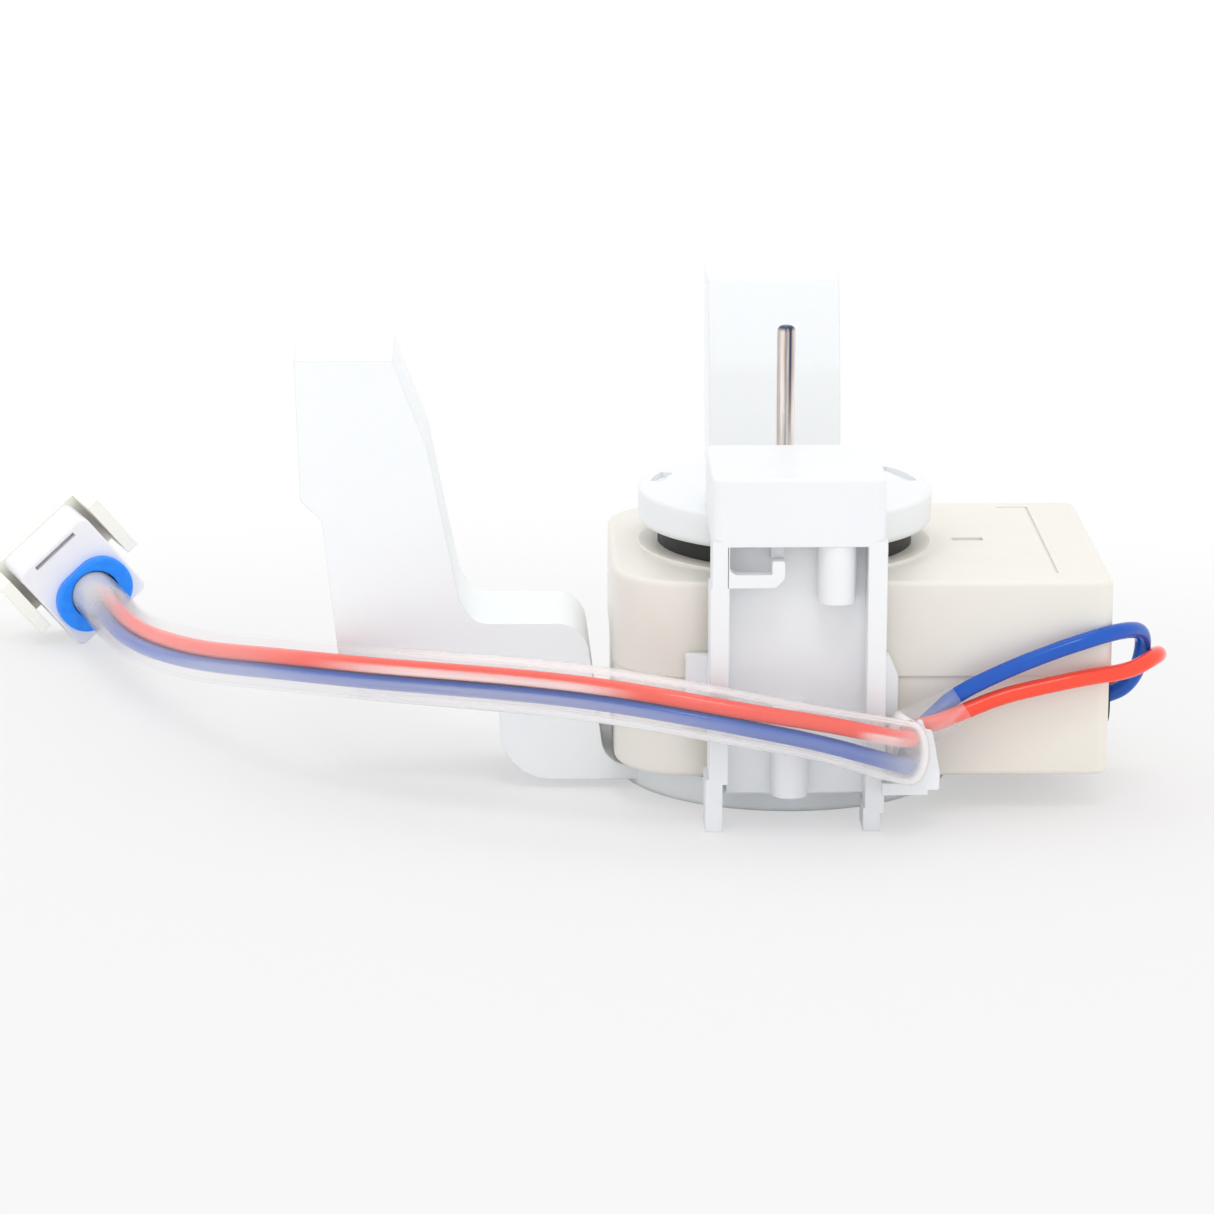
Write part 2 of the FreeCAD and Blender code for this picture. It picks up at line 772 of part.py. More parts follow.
def grommet():
    """Rubber grommet in the housing's right wall, with a hole for each lead."""
    outside = housing_right - shell_step
    inside = housing_right - housing_wall
    body = grommet_outline(0.0, inside, outside)
    body = body.fuse(grommet_outline(grommet_lip, outside, outside + grommet_rise))
    body = body.fuse(grommet_outline(grommet_inner_lip, inside - grommet_inner_rise, inside))
    for y in (blue_exit_y, red_exit_y):
        radius = lead_radius + grommet_gap
        hole = Part.makeCylinder(radius, 12.0, V(inside - 4.0, y, lead_exit_z), V(1, 0, 0))
        flare = Part.makeCone(radius, radius + grommet_flare, grommet_rise, V(outside, y, lead_exit_z), V(1, 0, 0))
        body = body.cut(hole.fuse(flare))
    return body.removeSplitter()


def lead_splices():
    """Crimped barrels that join the leads to the winding's ends."""
    x1 = housing_right - lead_start
    barrels = []
    for y in (blue_exit_y, red_exit_y):
        barrels.append(Part.makeCylinder(splice_radius, splice_length, V(x1 - splice_length, y, lead_exit_z), V(1, 0, 0)))
    return Part.makeCompound(barrels)


# Sleeve route from its cut end behind the clip to the plug, points chosen by hand.
sleeve_fold = [V(27.6, -34.8, 20.9), V(17.3, -35.6, 17.4), V(17.3, -46.0, 15.6)]
sleeve_free = [
    V(4.0, -46.2, 18.3), V(-8.6, -46.1, 21.0), V(-20.8, -45.0, 23.1), V(-33.0, -41.8, 24.4),
    V(-45.0, -37.0, 24.6), V(-57.0, -31.0, 24.1), V(-68.0, -25.2, 23.5), V(-78.2, -19.0, 22.9),
    V(-87.2, -9.6, 21.4), V(-94.6, 2.2, 19.0), V(-101.6, 15.4, 16.3), V(-108.2, 29.4, 14.0),
    V(-114.2, 43.8, 12.1), V(-119.0, 58.0, 11.0), V(-122.6, 72.6, 10.5),
]
plug_face = V(-126.6, 87.4, 10.2)

# Free stretch of each lead, from the grommet round the corner to the sleeve.
blue_free = [
    V(57.2, -19.6, 17.2), V(60.9, -20.6, 22.8), V(60.6, -23.8, 29.2), V(57.2, -29.4, 32.0),
    V(50.8, -33.0, 31.2), V(43.2, -33.2, 28.9), V(35.2, -33.7, 25.9), V(27.6, -34.8, 22.9),
]
red_free = [
    V(57.4, -15.4, 17.2), V(62.6, -16.4, 21.3), V(64.4, -21.4, 25.6), V(62.4, -27.4, 26.8),
    V(56.2, -30.9, 25.5), V(49.2, -32.8, 24.3), V(42.0, -33.4, 22.9), V(34.8, -34.1, 21.2), V(27.6, -34.8, 18.9),
]


def plug_axes():
    """Unit vectors of the plug: out of its mouth, along its long side, along its short side."""
    heading = math.radians(plug_heading)
    roll = math.radians(plug_roll)
    out = V(math.sin(heading), -math.cos(heading), 0)
    right = V(math.cos(heading), math.sin(heading), 0)
    along = right * math.cos(roll) + UP * math.sin(roll)
    across = UP * math.cos(roll) - right * math.sin(roll)
    return out, along, across


def plug_place(solid):
    """Moves a solid from the plug's own frame (X along, Y across, Z out) to its place."""
    out, along, across = plug_axes()
    matrix = FreeCAD.Matrix(
        along.x, across.x, out.x, plug_face.x,
        along.y, across.y, out.y, plug_face.y,
        along.z, across.z, out.z, plug_face.z,
        0, 0, 0, 1)
    placed = solid.copy()
    placed.Placement = FreeCAD.Placement(matrix)
    return placed


def lead_route(free, first_y, turn):
    """Route of one lead: out of the grommet, along its free stretch, through the sleeve to its contact."""
    out, along, across = plug_axes()
    points = [V(housing_right - lead_start, first_y, lead_exit_z)] + free
    end, slot_out, slot_in = sleeve_fold
    points.append((end + slot_out) * 0.5 - V(0, twist_spread * turn, 0))
    points.append(slot_out + UP * slot_spread * turn)
    points.append(slot_in + UP * slot_spread * turn)
    steps = len(sleeve_free)
    for i, point in enumerate(sleeve_free):
        lean = max(0.0, (i - (steps - 5)) / 5.0)
        angle = math.radians(90 - 50 * lean)
        right = V(math.cos(math.radians(plug_heading)), math.sin(math.radians(plug_heading)), 0)
        offset = (UP * math.sin(angle) + right * math.cos(angle)) * lead_spread * turn
        points.append(point + offset)
    points.append(plug_face + out * seal_proud + along * lead_spread * turn)
    points.append(plug_face - out * (sleeve_in_plug + 2.0) + along * lead_spread * turn)
    return points


def bend_radius(before, here, after):
    """Radius that rounds a route's corner: 0.45 of the shorter run over the tangent of half the turn."""
    into = here - before
    out = after - here
    turn = into.getAngle(out)
    return 0.45 * min(into.Length, out.Length) / math.tan(turn / 2)


def route_path(points, label):
    """A path of straight runs joined by tangent arcs through a route's corners, and its length."""
    edges = []
    last = points[0]
    radii = []
    for i in range(1, len(points) - 1):
        radius = bend_radius(points[i - 1], points[i], points[i + 1])
        radii.append(radius)
        start, middle, end = corner_arc(points[i - 1], points[i], points[i + 1], radius)
        if (start - last).Length > 1e-6:
            edges.append(Part.LineSegment(last, start).toShape())
        edges.append(Part.Arc(start, middle, end).toShape())
        last = end
    edges.append(Part.LineSegment(last, points[-1]).toShape())
    wire = Part.Wire(edges)
    print(label, "radii", " ".join("%.1f" % r for r in radii), "length %.1f" % wire.Length)
    return wire


def tube_along(points, radius, label):
    """A round solid swept along a route, its volume compared with section times length."""
    path = route_path(points, label)
    start = (points[1] - points[0]).normalize()
    circle = Part.Wire(Part.makeCircle(radius, points[0], start))
    solid = path.makePipeShell([circle], True, False)
    print(label, "volume ratio %.4f" % (solid.Volume / (math.pi * radius * radius * path.Length)))
    return solid


def oval(centre, tangent, half_across, half_up):
    """A closed ellipse square to the path, its long axis upright."""
    side = tangent.cross(UP).normalize()
    upright = side.cross(tangent).normalize()
    ellipse = Part.Ellipse(centre + upright * half_up, centre + side * half_across, centre)
    return Part.Wire(ellipse.toShape())


def fold_sections():
    """Stations along the pinched end of the sleeve: place, direction, half width and half height."""
    end, slot_out, slot_in = sleeve_fold
    lead_in = sleeve_free[0]
    start = slot_in + (lead_in - slot_in) * 0.62
    first = corner_arc(lead_in, slot_in, slot_out, bend_radius(lead_in, slot_in, slot_out))
    second = corner_arc(slot_in, slot_out, end, bend_radius(slot_in, slot_out, end))
    edges = [
        Part.LineSegment(start, first[0]).toShape(),
        Part.Arc(*first).toShape(),
        Part.LineSegment(first[2], second[0]).toShape(),
        Part.Arc(*second).toShape(),
        Part.LineSegment(second[2], end).toShape(),
    ]
    across = [4.70, 4.20, 2.35, 2.35, 4.30, 4.15]
    upright = [4.71, 5.20, 5.70, 5.70, 5.00, 4.20]
    stations = []
    for i, edge in enumerate(edges):
        steps = [2, 6, 1, 6, 5][i]
        for k in range(steps + (i == len(edges) - 1)):
            share = k / steps
            at = edge.FirstParameter + (edge.LastParameter - edge.FirstParameter) * share
            half_across = across[i] + (across[i + 1] - across[i]) * share
            half_up = upright[i] + (upright[i + 1] - upright[i]) * share
            stations.append((edge.valueAt(at), edge.tangentAt(at), half_across, half_up))
    return stations


def sleeve_end(shrink):
    """The pinched end of the sleeve as a loft through its stations."""
    wires = [oval(c, t, a - shrink, b - shrink) for c, t, a, b in fold_sections()]
    return Part.makeLoft(wires, True, True)


def clear_sleeve():
    """Clear PVC sleeve: a round tube to the plug, and its end pinched flat through the clip."""
    out = plug_axes()[0]
    start = sleeve_fold[2] + (sleeve_free[0] - sleeve_fold[2]) * 0.62
    route = [start] + sleeve_free + [plug_face + out * seal_proud, plug_face - out * sleeve_in_plug]
    tube = tube_along(route, sleeve_radius, "sleeve")
    tube = tube.cut(tube_along(route, sleeve_radius - sleeve_wall, "sleeve bore"))
    end = sleeve_end(0.0).cut(sleeve_end(sleeve_wall))
    return Part.makeCompound([tube, end])


def racetrack(half_length, half_width, z0, z1):
    """An oblong with full round ends, standing along the plug's own Z."""
    r = half_width * 0.98
    x = half_length
    y = half_width
    return plate([(-x, -y, r), (x, -y, r), (x, y, r), (-x, y, r)], z0, z1)


def connector_housing():
    """White plug body: a rounded block with an oblong mouth for the seal, and bores for the leads."""
    x = plug_half_length
    r = plug_corner
    outline = [(-x, -plug_low, r), (x, -plug_low, r), (x, plug_high, r), (-x, plug_high, r)]
    body = plate(outline, -plug_depth, 0.0)
    body = body.makeFillet(0.5, edges_at_height(body, 0.0))
    length = seal_half_length - seal_step
    width = seal_half_width - seal_step
    body = body.cut(racetrack(length, width, -seal_depth, 0.1))
    y0 = notch_place - notch_width / 2
    notch = block(-notch_length / 2, notch_length / 2, y0, y0 + notch_width, -notch_depth, 0.1)
    body = body.cut(notch)
    for turn in (-1, 1):
        body = body.cut(disc(lead_radius + 0.1, -plug_depth - 0.1, 0.0, turn * lead_spread, 0))
    return plug_place(body)


def connector_seal():
    """Blue rubber seal in the mouth of the plug, with the sleeve in its bore."""
    length = seal_half_length - seal_step - seal_gap
    width = seal_half_width - seal_step - seal_gap
    body = racetrack(length, width, -seal_depth, 0.0)
    body = body.fuse(racetrack(seal_half_length, seal_half_width, 0.0, seal_proud))
    body = body.makeFillet(0.7, edges_at_height(body, seal_proud))
    body = body.cut(disc(sleeve_radius + seal_gap, -seal_depth, seal_proud + 1.0))
    return plug_place(body)


def connector_retainer():
    """Natural nylon yoke behind the plug body, with a latch wing along each end."""
    reach = plug_half_length + wing_gap + wing_thickness
    back = -plug_depth
    body = block(-reach, reach, wing_low, wing_high, back - back_plate, back)
    body = body.cut(block(-4.0, 4.0, wing_low - 1.0, 3.2, back - back_plate, back))
    for side in (-1, 1):
        x0, x1 = sorted((side * reach, side * (reach - wing_thickness)))
        body = body.fuse(block(x0, x1, wing_low, wing_high, back - back_plate, back + wing_reach))
    return plug_place(body.removeSplitter())


def connector_contacts():
    """Brass contacts crimped on the ends of the leads."""
    pins = []
    for turn in (-1, 1):
        pins.append(disc(contact_radius, -plug_depth + 0.3, -sleeve_in_plug - 2.0, turn * lead_spread, 0))
    return plug_place(Part.makeCompound(pins))


nodes = {
    "shaft": shaft,
    "rotor_core": rotor_core,
    "rotor_end_rings": rotor_end_rings,
    "thrust_washers": thrust_washers,
    "lower_bearing": lambda: bearing(-1),
    "upper_bearing": lambda: bearing(1),
    "bearing_retainers": bearing_retainers,
    "oil_wicks": oil_wicks,
    "stator_core": stator_core,
    "shading_rings": shading_rings,
    "coil_bobbin": coil_bobbin,
    "coil_winding": coil_winding,
    "thermal_fuse": thermal_fuse,
    "housing_lower": housing_lower,
    "housing_upper": housing_upper,
    "lower_isolator": lambda: isolator(lower_isolator_radius, lower_cup_floor, housing_bottom_z),
    "upper_isolator": lambda: isolator(
        upper_isolator_radius, housing_top_z + plinth_height, upper_cup_top - upper_cup_roof),
    "base_bracket": base_bracket,
    "upper_bracket": upper_bracket,
    "lead_grommet": grommet,
    "lead_splices": lead_splices,
    "red_lead": lambda: tube_along(lead_route(red_free, red_exit_y, 1), lead_radius, "red lead"),
    "blue_lead": lambda: tube_along(lead_route(blue_free, blue_exit_y, -1), lead_radius, "blue lead"),
    "clear_sleeve": clear_sleeve,
    "connector_housing": connector_housing,
    "connector_seal": connector_seal,
    "connector_retainer": connector_retainer,
    "connector_contacts": connector_contacts,
}

for name, make in nodes.items():
    shape = make()
    solids = len(shape.Solids)
    print(name, "solids", solids, "valid", shape.isValid(), "volume %.1f" % shape.Volume)
    shape.exportStep("parts/" + name + ".step")
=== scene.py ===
import math
import bpy
import numpy as np
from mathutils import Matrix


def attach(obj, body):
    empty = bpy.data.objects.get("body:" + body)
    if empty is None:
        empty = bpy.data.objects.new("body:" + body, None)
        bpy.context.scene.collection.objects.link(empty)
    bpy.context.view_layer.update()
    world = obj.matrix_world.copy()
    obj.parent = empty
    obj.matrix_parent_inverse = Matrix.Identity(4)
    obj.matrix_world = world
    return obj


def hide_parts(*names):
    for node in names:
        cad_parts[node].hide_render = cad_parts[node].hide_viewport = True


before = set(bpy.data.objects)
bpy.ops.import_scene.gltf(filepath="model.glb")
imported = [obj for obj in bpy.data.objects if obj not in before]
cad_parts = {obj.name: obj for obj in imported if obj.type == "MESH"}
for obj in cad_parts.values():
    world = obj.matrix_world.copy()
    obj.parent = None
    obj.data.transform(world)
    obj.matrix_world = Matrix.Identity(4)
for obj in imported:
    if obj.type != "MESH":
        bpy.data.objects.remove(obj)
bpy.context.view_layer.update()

# Camera.
# It stands before the motor, a little above it and to the left, with a long lens,
# and looks down at the mast with the legs to the left and behind.
camera = bpy.data.objects.new("camera", bpy.data.cameras.new("camera"))
bpy.context.scene.collection.objects.link(camera)
camera.location = (-0.05402, -0.84364, 0.24039)
camera.rotation_euler = [math.radians(angle) for angle in (75.92896, -0.14065, -1.54675)]
camera.data.lens = 148.3
camera.data.sensor_width = 36.0
camera.data.clip_start = 0.02
bpy.context.scene.camera = camera

# Red and blue lead.
# Stranded copper in smooth PVC insulation, 2.8 mm across, bent by hand out of the grommet
# and round to the mast's clip, then side by side in the sleeve to the plug.
lead_radius = 0.0014
red_route = [
    (0.0507, -0.0154, 0.0172), (0.0558, -0.0154, 0.0176), (0.0588, -0.0158, 0.0206),
    (0.0608, -0.0162, 0.0234), (0.0633, -0.0200, 0.0254), (0.0614, -0.0268, 0.0265),
    (0.0568, -0.0302, 0.0249), (0.0494, -0.0324, 0.0245), (0.0420, -0.0333, 0.0232),
    (0.0348, -0.0340, 0.0217), (0.0288, -0.0350, 0.0195), (0.0234, -0.0371, 0.0178),
    (0.0172, -0.0366, 0.0165), (0.0171, -0.0412, 0.0172), (0.0195, -0.0470, 0.0175),
    (0.0132, -0.0469, 0.0186), (0.0040, -0.0462, 0.0204), (-0.0086, -0.0461, 0.0224),
    (-0.0208, -0.0450, 0.0245), (-0.0330, -0.0418, 0.0258), (-0.0450, -0.0370, 0.0260),
    (-0.0570, -0.0310, 0.0255), (-0.0680, -0.0252, 0.0249), (-0.0782, -0.0190, 0.0243),
    (-0.0872, -0.0096, 0.0228), (-0.0946, 0.0022, 0.0204), (-0.1016, 0.0154, 0.0177),
    (-0.1080, 0.0295, 0.0154), (-0.1137, 0.0440, 0.0134), (-0.1183, 0.0582, 0.0122),
    (-0.1217, 0.0729, 0.0116), (-0.1249, 0.0857, 0.0111), (-0.1273, 0.0935, 0.0113)]
blue_route = [
    (0.0507, -0.0196, 0.0172), (0.0555, -0.0196, 0.0180), (0.0587, -0.0199, 0.0207),
    (0.0602, -0.0203, 0.0254), (0.0598, -0.0230, 0.0302), (0.0558, -0.0286, 0.0317),
    (0.0496, -0.0322, 0.0310), (0.0426, -0.0330, 0.0288), (0.0352, -0.0337, 0.0260),
    (0.0270, -0.0346, 0.0222), (0.0234, -0.0333, 0.0182), (0.0172, -0.0354, 0.0127),
    (0.0171, -0.0412, 0.0128), (0.0195, -0.0470, 0.0127), (0.0132, -0.0469, 0.0144),
    (0.0040, -0.0462, 0.0169), (-0.0086, -0.0461, 0.0196), (-0.0208, -0.0450, 0.0217),
    (-0.0330, -0.0418, 0.0230), (-0.0450, -0.0370, 0.0232), (-0.0570, -0.0310, 0.0227),
    (-0.0680, -0.0252, 0.0221), (-0.0782, -0.0190, 0.0215), (-0.0872, -0.0096, 0.0200),
    (-0.0946, 0.0022, 0.0176), (-0.1016, 0.0154, 0.0149), (-0.1084, 0.0293, 0.0126),
    (-0.1147, 0.0436, 0.0108), (-0.1197, 0.0578, 0.0098), (-0.1235, 0.0723, 0.0094),
    (-0.1269, 0.0849, 0.0093), (-0.1297, 0.0927, 0.0091)]


class Socket:
    """An output in a finish's node tree: sums and products of it add Math nodes, node() any other kind."""

    def __init__(self, tree, out=None):
        self.tree, self.out = tree, out

    def node(self, kind, settings=(), sockets=(), out=0):
        """Adds a node with its settings and a value or a link for each socket, and gives one output."""
        made = self.tree.nodes.new("ShaderNode" + kind)
        for name, value in dict(settings).items():
            setattr(made, name, value)
        for name, value in dict(sockets).items():
            if isinstance(value, Socket):
                self.tree.links.new(value.out, made.inputs[name])
            else:
                made.inputs[name].default_value = value
        return Socket(self.tree, made.outputs[out])

    def math(self, operation, first, second=0.0):
        """A Math node on one or two values or sockets."""
        return self.node("Math", {"operation": operation}, {0: first, 1: second})

    def __add__(self, other): return self.math("ADD", self, other)
    def __radd__(self, other): return self.math("ADD", other, self)
    def __sub__(self, other): return self.math("SUBTRACT", self, other)
    def __rsub__(self, other): return self.math("SUBTRACT", other, self)
    def __mul__(self, other): return self.math("MULTIPLY", self, other)
    def __rmul__(self, other): return self.math("MULTIPLY", other, self)

    def step(self, low, high):
        """Rises smoothly from 0 at low to 1 at high."""
        return self.node("MapRange", {"interpolation_type": "SMOOTHSTEP"}, {"Value": self, 1: low, 2: high})

    def mix(self, first, second):
        """The first colour where this value is 0, the second where it is 1."""
        return self.node("Mix", {"data_type": "RGBA"}, {0: self, 6: first, 7: second}, out=2)

    def noise(self, scale, detail=3.0, stretch=(1, 1, 1), move=(0, 0, 0)):
        """Soft noise in the object's own coordinates, its scale per metre and stretched along each axis."""
        place = self.node("TexCoord", out="Object")
        place = self.node("Mapping", {}, {"Vector": place, "Location": move, "Scale": stretch})
        return self.node("TexNoise", {}, {"Vector": place, "Scale": scale, "Detail": detail}, out="Fac")


def finish(name, build, constants):
    """A named material: constants go straight on the shader's sockets, build(socket) gives what varies."""
    made = bpy.data.materials.new(name)
    made.use_nodes = True
    tree = made.node_tree
    shader = tree.nodes["Principled BSDF"]
    for key, value in constants.items():
        shader.inputs[key].default_value = value
    for key, value in build(Socket(tree)).items():
        tree.links.new(value.out, shader.inputs[key])
    return made


def rounded(paint, radius, height):
    """A surface normal with its edges rounded to a radius, and a relief in metres laid over it."""
    edge = paint.node("Bevel", {"samples": 6}, {"Radius": radius}, out="Normal")
    return paint.node("Bump", {}, {"Distance": 1.0, "Height": height, "Normal": edge})


def insulation(colour, deep):
    """Smooth extruded PVC: a faint drawn grain along the lead and slightly deeper colour in patches."""
    def build(paint):
        patch = paint.noise(140.0, 4.0)
        fine = paint.noise(2600.0, 2.0)
        return {
            "Base Color": (patch * 0.8).mix(colour, deep),
            "Roughness": 0.16 + patch * 0.1,
            "Normal": paint.node("Bump", {}, {"Distance": 1.0, "Height": fine * 0.00001}),
        }
    return build


def nurbs(name, points, bevel=0.0):
    """An order-3 NURBS curve with the points as its control points, ending on its end points."""
    data = bpy.data.curves.new(name, "CURVE")
    data.dimensions = "3D"
    data.resolution_u = 14
    data.bevel_depth = bevel
    data.bevel_resolution = 6
    data.use_fill_caps = bevel > 0
    spline = data.splines.new("NURBS")
    spline.points.add(len(points) - 1)
    spline.points.foreach_set("co", np.c_[points, np.ones(len(points))].ravel())
    spline.order_u = 3
    spline.use_endpoint_u = True
    made = bpy.data.objects.new(name, data)
    bpy.context.scene.collection.objects.link(made)
    return made


def line_of(points):
    """The smooth line of a route: the points of its NURBS spline, read from a curve without thickness."""
    curve = nurbs("route", points)
    mesh = bpy.data.meshes.new_from_object(curve)
    line = np.empty(len(mesh.vertices) * 3)
    mesh.vertices.foreach_get("co", line)
    bpy.data.objects.remove(curve)
    bpy.data.meshes.remove(mesh)
    return line.reshape(-1, 3)


smooth_pvc = {"IOR": 1.5, "Specular IOR Level": 0.4}
red = nurbs("red_wire", red_route, lead_radius)
red.data.materials.append(finish(
    "red_insulation", insulation((0.97, 0.085, 0.04, 1), (0.93, 0.055, 0.028, 1)), smooth_pvc))
blue = nurbs("blue_wire", blue_route, lead_radius)
blue.data.materials.append(finish(
    "blue_insulation", insulation((0.004, 0.105, 0.54, 1), (0.002, 0.07, 0.43, 1)), smooth_pvc))
for wire, node in ((red, "red_lead"), (blue, "blue_lead")):
    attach(wire, "frame")
    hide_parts(node)

# Clear sleeve.
# A soft PVC tube over both leads, 9.4 mm across with a 0.5 mm wall. Its end is folded flat
# through the mast's slot and stands open again behind it. The far end is pushed into the plug's seal.
sleeve_wall = 0.00051
sleeve_sides = 48
sleeve_route = [
    (0.0279, -0.0348, 0.0209), (0.0234, -0.0352, 0.0180), (0.0172, -0.0360, 0.0146),
    (0.0171, -0.0412, 0.0150), (0.0195, -0.0470, 0.0151), (0.0132, -0.0469, 0.0165),
    (0.0040, -0.0462, 0.0186), (-0.0086, -0.0461, 0.0210), (-0.0208, -0.0450, 0.0231),
    (-0.0330, -0.0418, 0.0244), (-0.0450, -0.0370, 0.0246), (-0.0570, -0.0310, 0.0241),
    (-0.0680, -0.0252, 0.0235), (-0.0782, -0.0190, 0.0229), (-0.0872, -0.0096, 0.0214),
    (-0.0946, 0.0022, 0.0190), (-0.1016, 0.0154, 0.0163), (-0.1082, 0.0294, 0.0140),
    (-0.1142, 0.0438, 0.0121), (-0.1190, 0.0580, 0.0110), (-0.1226, 0.0726, 0.0105),
    (-0.1259, 0.0853, 0.0102), (-0.1279, 0.0912, 0.0102)]
# Half its width, half its height and how white the plastic has turned, at each point of the route.
sleeve_sizes = [
    (0.0023, 0.0034, 0.05), (0.0044, 0.0034, 0.1), (0.0023, 0.0054, 0.3), (0.0021, 0.00565, 0.5),
    (0.0033, 0.0054, 0.32), (0.0038, 0.0053, 0.0), (0.0044, 0.0045, 0.0)] + [(0.0047, 0.0047, 0.0)] * 12 + [
    (0.0047, 0.0047, 0.15), (0.0046, 0.0046, 0.5), (0.0045, 0.0045, 0.75), (0.0045, 0.0045, 0.75)]


def grid_mesh(name, points, wrap_rows=False):
    """A mesh on a grid of points: each row closes on itself, and wrap_rows joins the last row to the first."""
    rows, columns = points.shape[:2]
    index = np.arange(rows * columns).reshape(rows, columns)
    if wrap_rows:
        index = np.vstack([index, index[:1]])
    index = np.hstack([index, index[:, :1]])
    quads = np.stack([index[:-1, :-1], index[:-1, 1:], index[1:, 1:], index[1:, :-1]], -1).reshape(-1, 4)
    mesh = bpy.data.meshes.new(name)
    mesh.vertices.add(rows * columns)
    mesh.vertices.foreach_set("co", points.reshape(-1))
    mesh.loops.add(quads.size)
    mesh.loops.foreach_set("vertex_index", quads.ravel().astype(np.int32))
    mesh.polygons.add(len(quads))
    mesh.polygons.foreach_set("loop_start", (np.arange(len(quads)) * 4).astype(np.int32))
    mesh.polygons.foreach_set("use_smooth", np.ones(len(quads), bool))
    mesh.update(calc_edges=True)
    mesh.validate()
    made = bpy.data.objects.new(name, mesh)
    bpy.context.scene.collection.objects.link(made)
    return made


def tube_points(line, across, upright, around):
    """Ellipses square to a line: sideways half width times cosine plus upright half height times sine."""
    tangent = np.gradient(line, axis=0)
    tangent /= np.linalg.norm(tangent, axis=1, keepdims=True)
    side = np.cross(tangent, (0.0, 0.0, 1.0))
    side /= np.linalg.norm(side, axis=1, keepdims=True)
    up = np.cross(side, tangent)
    angle = np.linspace(0, 2 * np.pi, around, endpoint=False)
    ring = np.cos(angle)[None, :, None] * side[:, None] * across[:, None, None]
    return line[:, None] + ring + np.sin(angle)[None, :, None] * up[:, None] * upright[:, None, None]


sleeve_line = line_of(sleeve_route)
run = np.r_[0.0, np.cumsum(np.linalg.norm(np.diff(sleeve_line, axis=0), axis=1))]
across, upright, whiteness = line_of(sleeve_sizes).T
outer = tube_points(sleeve_line, across, upright, sleeve_sides)
inner = tube_points(sleeve_line, across - sleeve_wall, upright - sleeve_wall, sleeve_sides)
sleeve = grid_mesh("sleeve_tube", np.concatenate([outer, inner[::-1]]), wrap_rows=True)
# Its finish reads three values at each point: the run from the folded end in metres, the share of
# the way round and the whiteness.
place = np.zeros((2 * len(run), sleeve_sides, 3))
place[..., 0] = np.concatenate([run, run[::-1]])[:, None]
place[..., 1] = (np.arange(sleeve_sides) / sleeve_sides)[None]
place[..., 2] = np.concatenate([whiteness, whiteness[::-1]])[:, None]
sleeve.data.attributes.new("place", "FLOAT_VECTOR", "POINT").data.foreach_set("vector", place.ravel())


def clear_vinyl(paint):
    """Clear PVC: white where it is folded and at the plug, with drawn streaks. Whiter at a slant near the fold
    as a painted reflection, a painted highlight band and spot over the red lead, a paler lower side that is a
    painted reflection, and a fine painted dark edge."""
    slant = paint.node("LayerWeight", {}, {"Blend": 0.5}, out="Facing")
    place = paint.node("Attribute", {"attribute_name": "place"}, out="Vector")
    along, around, white = (paint.node("SeparateXYZ", {}, {0: place}, out=axis) for axis in "XYZ")
    drawn = paint.node("CombineXYZ", {}, {0: along * 9.0, 1: around * 12.0})
    streak = paint.node("TexNoise", {}, {"Vector": drawn, "Scale": 1.0, "Detail": 2.0}, out="Fac")
    streak = streak.step(0.42, 0.62)
    # Near the fold the sleeve is whiter at a slant: a painted reflection of the bright room.
    front = along.step(0.008, 0.02) * (1.0 - along.step(0.09, 0.13))
    # A painted highlight band over the red lead along one stretch of the run, and a painted highlight spot
    # near the fold.
    highlight_reach = along.step(0.066, 0.080) * (1.0 - along.step(0.105, 0.13))
    spot = 1.0 - paint.math("ABSOLUTE", along - 0.0275).step(0.001, 0.005)
    upper = (1.0 - paint.math("ABSOLUTE", around - 0.428).step(0.014, 0.034)) * (highlight_reach + spot * 0.8)
    # The paler lower side is a painted reflection of the floor.
    lower = around.step(0.485, 0.515) * (0.3 + along.step(0.045, 0.08) * 0.7)
    lower = lower * (1.0 - along.step(0.15, 0.2))
    # A painted dark edge where the wall turns away from view.
    painted_dark_rim = slant.step(0.80, 0.97)
    # The alpha adds up the painted reflections and highlights with the plastic's real whitening.
    whitening_and_highlights = 0.05 + slant.step(0.24, 0.56) * (0.05 + front * 0.47) + white * 0.7
    whitening_and_highlights = whitening_and_highlights + upper * (0.30 + streak * 0.15) + lower * (0.12 + streak * 0.08)
    return {
        "Base Color": painted_dark_rim.mix((0.97, 0.96, 0.95, 1), (0.52, 0.51, 0.51, 1)),
        "Alpha": paint.math("MINIMUM", whitening_and_highlights, 0.92),
        "Roughness": 0.07 + streak * 0.06,
        "Normal": paint.node("Bump", {}, {"Distance": 1.0, "Height": streak * 0.00004}),
    }


sleeve.data.materials.append(finish("clear_vinyl", clear_vinyl, {"IOR": 1.8}))
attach(sleeve, "frame")
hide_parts("clear_sleeve")

# Plug.
# A white PBT body with a seal of blue silicone rubber in its mouth and a natural nylon
# retainer clipped round its back. Two tin-plated contacts are crimped to the leads inside.


def dress(node, material):
    """Puts a finish on every material slot of a CAD node."""
    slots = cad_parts[node].data.materials
    for at in range(max(1, len(slots))):
        if len(slots) > at:
            slots[at] = material
        else:
            slots.append(material)


def moulded(colour, shade, rough, edge=0.0003):
    """Moulded plastic: fine spark-eroded grain, flow marks in tone and gloss, and softly rounded edges."""
    def build(paint):
        flow = paint.noise(38.0, 5.0, move=(0.03, 0.01, 0.02))
        handled = paint.noise(210.0, 4.0).step(0.35, 0.8)
        fine = paint.noise(5200.0, 2.0)
        soft = paint.noise(120.0, 2.0)
        return {
            "Base Color": flow.step(0.25, 0.8).mix(colour, shade),
            "Roughness": rough + handled * 0.12 + fine * 0.05,
            "Normal": rounded(paint, edge, fine * 0.000012 + soft * 0.00005),
        }
    return build


